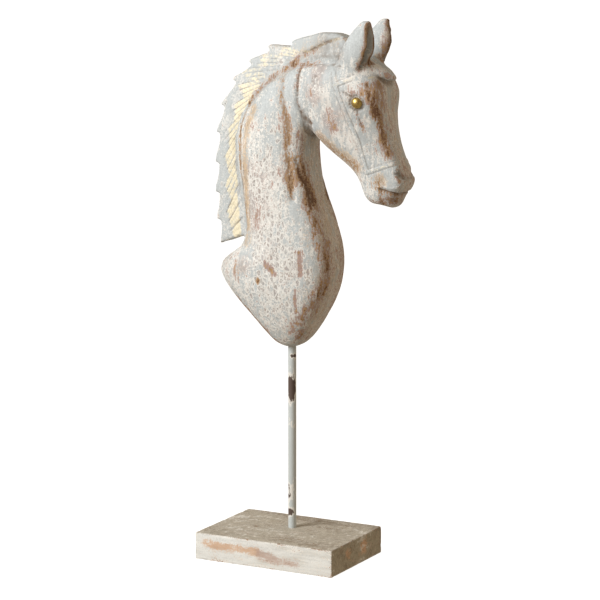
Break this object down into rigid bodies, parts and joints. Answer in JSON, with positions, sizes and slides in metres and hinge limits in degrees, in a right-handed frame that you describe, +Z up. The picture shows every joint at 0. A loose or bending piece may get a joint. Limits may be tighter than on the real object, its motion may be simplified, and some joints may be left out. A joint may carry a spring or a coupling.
{
  "type": "horse sculpture",
  "caption": "Carved wooden horse head and neck with a cut mane and bridle, in worn paint, held up on a steel rod that stands in a wooden block; a table ornament.",
  "frame": {"origin": "middle of the block's underside, on the surface it stands on", "axes": "+Z up along the rod, +X the way the horse looks and along the block's long side, +Y to the horse's left"},
  "size_m": [0.2097, 0.107, 0.527],
  "materials": {
    "painted_wood": "worn grey, cream and gold paint over brown wood",
    "eye_brass": "polished",
    "rod_steel": "worn grey paint with dark chips",
    "block_wood": "worn grey-cream paint over brown wood"
  },
  "bodies": {
    "root": {"horse_carving": "painted_wood", "eye_stud_right": "eye_brass", "eye_stud_left": "eye_brass", "rod": "rod_steel", "block": "block_wood"}
  },
  "joints": []
}
